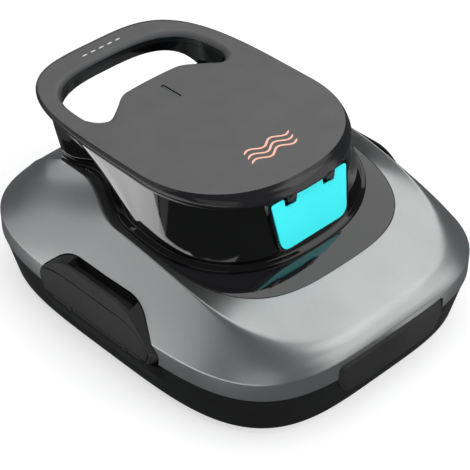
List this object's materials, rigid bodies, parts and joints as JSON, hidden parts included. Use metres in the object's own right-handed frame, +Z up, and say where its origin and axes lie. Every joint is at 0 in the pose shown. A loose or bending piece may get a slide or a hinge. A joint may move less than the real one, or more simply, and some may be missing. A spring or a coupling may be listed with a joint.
{
  "type": "pool cleaner",
  "caption": "Cordless robotic pool floor cleaner with a latched lift-off shell, carrying handle, hinged jet flaps, wheels, inlet valves and a filter over a debris tray.",
  "frame": {"origin": "on the floor, under the middle of the bounding box", "axes": "+Z up, front jet faces -Y, carrying handle at +Y, +X to the right seen from the front jet side looking along +Y"},
  "size_m": [0.3344, 0.4044, 0.1799],
  "materials": {
    "silver_paint": "satin metallic silver",
    "gloss_black": "high gloss",
    "charcoal": "matte charcoal",
    "cyan_flap": "satin",
    "base_grey": "fine textured",
    "rubber": "matte",
    "steel": "brushed",
    "inner_plastic": "satin",
    "lens": "clear gloss",
    "board_green": "solder mask",
    "cell_wrap": "shrink wrap",
    "mesh_white": "fine woven mesh"
  },
  "bodies": {
    "base": {"base_tray": "base_grey", "bumper_front": "rubber", "bumper_rear": "rubber", "wiper_strip_front": "rubber", "wiper_strip_rear": "rubber", "latch_pin_left": "steel", "latch_pin_right": "steel", "axle_front_left": "steel", "axle_front_right": "steel", "axle_rear_left": "steel", "axle_rear_right": "steel"},
    "upper": {"top_cover": "silver_paint", "latch_recess_left": "base_grey", "latch_recess_right": "base_grey", "deck_panel": "gloss_black", "pod_housing": "gloss_black", "handle_frame": "gloss_black", "top_plate": "charcoal", "led_lens": "lens", "motor_chamber": "inner_plastic", "chamber_seal": "rubber", "chamber_lid": "inner_plastic", "battery_pack": "cell_wrap", "control_board": "board_green", "charge_socket": "inner_plastic", "lid_screw_1": "steel", "lid_screw_2": "steel", "lid_screw_3": "steel", "lid_screw_4": "steel", "flap_pin_front": "steel", "flap_pin_rear": "steel", "jet_duct_front": "inner_plastic", "jet_duct_rear": "inner_plastic", "pump_motor_front": "steel", "pump_motor_rear": "steel"},
    "filter": {"filter_frame": "inner_plastic", "filter_mesh": "mesh_white"},
    "power_button": {"power_button": "charcoal"},
    "charge_cap": {"charge_cap": "rubber"},
    "wheel_front_left": {"wheel_front_left": "rubber"},
    "wheel_front_right": {"wheel_front_right": "rubber"},
    "wheel_rear_left": {"wheel_rear_left": "rubber"},
    "wheel_rear_right": {"wheel_rear_right": "rubber"},
    "latch_left": {"latch_left": "base_grey"},
    "latch_right": {"latch_right": "base_grey"},
    "inlet_flap_front": {"inlet_flap_front": "rubber"},
    "jet_flap_front": {"jet_flap_front": "cyan_flap"},
    "impeller_front": {"impeller_front": "inner_plastic"},
    "inlet_flap_rear": {"inlet_flap_rear": "rubber"},
    "jet_flap_rear": {"jet_flap_rear": "cyan_flap"},
    "impeller_rear": {"impeller_rear": "inner_plastic"}
  },
  "joints": [
    {"name": "cover_lift", "type": "slide", "parent": "base", "child": "upper", "axis": [0, 0, 1], "range_m": [0, 0.12]},
    {"name": "filter_slide", "type": "slide", "parent": "upper", "child": "filter", "axis": [0, 0, -1], "range_m": [0, 0.04]},
    {"name": "latch_left_hinge", "type": "hinge", "parent": "base", "child": "latch_left", "pos_m": [-0.1652, 0, 0.047], "axis": [0, -1, 0], "range_deg": [0, 32]},
    {"name": "latch_right_hinge", "type": "hinge", "parent": "base", "child": "latch_right", "pos_m": [0.1652, 0, 0.047], "axis": [0, 1, 0], "range_deg": [0, 32]},
    {"name": "jet_flap_front_hinge", "type": "hinge", "parent": "upper", "child": "jet_flap_front", "pos_m": [0, -0.0973, 0.1635], "axis": [-1, 0, 0], "range_deg": [0, 60]},
    {"name": "jet_flap_rear_hinge", "type": "hinge", "parent": "upper", "child": "jet_flap_rear", "pos_m": [0, 0.0908, 0.1635], "axis": [1, 0, 0], "range_deg": [0, 60]},
    {"name": "inlet_flap_front_hinge", "type": "hinge", "parent": "base", "child": "inlet_flap_front", "pos_m": [0, -0.093, 0.0101], "axis": [-1, 0, 0], "range_deg": [0, 70]},
    {"name": "inlet_flap_rear_hinge", "type": "hinge", "parent": "base", "child": "inlet_flap_rear", "pos_m": [0, 0.093, 0.0101], "axis": [1, 0, 0], "range_deg": [0, 70]},
    {"name": "wheel_front_left_spin", "type": "hinge", "parent": "base", "child": "wheel_front_left", "pos_m": [-0.118, -0.12, 0.017], "axis": [1, 0, 0], "continuous": true},
    {"name": "wheel_front_right_spin", "type": "hinge", "parent": "base", "child": "wheel_front_right", "pos_m": [0.118, -0.12, 0.017], "axis": [1, 0, 0], "continuous": true},
    {"name": "wheel_rear_left_spin", "type": "hinge", "parent": "base", "child": "wheel_rear_left", "pos_m": [-0.118, 0.12, 0.017], "axis": [1, 0, 0], "continuous": true},
    {"name": "wheel_rear_right_spin", "type": "hinge", "parent": "base", "child": "wheel_rear_right", "pos_m": [0.118, 0.12, 0.017], "axis": [1, 0, 0], "continuous": true},
    {"name": "impeller_front_spin", "type": "hinge", "parent": "upper", "child": "impeller_front", "pos_m": [0, -0.056, 0.141], "axis": [0, 1, 0], "continuous": true},
    {"name": "impeller_rear_spin", "type": "hinge", "parent": "upper", "child": "impeller_rear", "pos_m": [0, 0.056, 0.141], "axis": [0, 1, 0], "continuous": true},
    {"name": "power_button_press", "type": "slide", "parent": "upper", "child": "power_button", "axis": [0, -1, 0], "range_m": [0, 0.0015], "stiffness_N_per_m": 300},
    {"name": "charge_cap_hinge", "type": "hinge", "parent": "upper", "child": "charge_cap", "pos_m": [-0.065, 0.1016, 0.1587], "axis": [1, 0, 0], "range_deg": [0, 100]}
  ],
  "couplings": [
    {"joint": "filter_slide", "follows": "cover_lift", "ratio": 0.3}
  ]
}
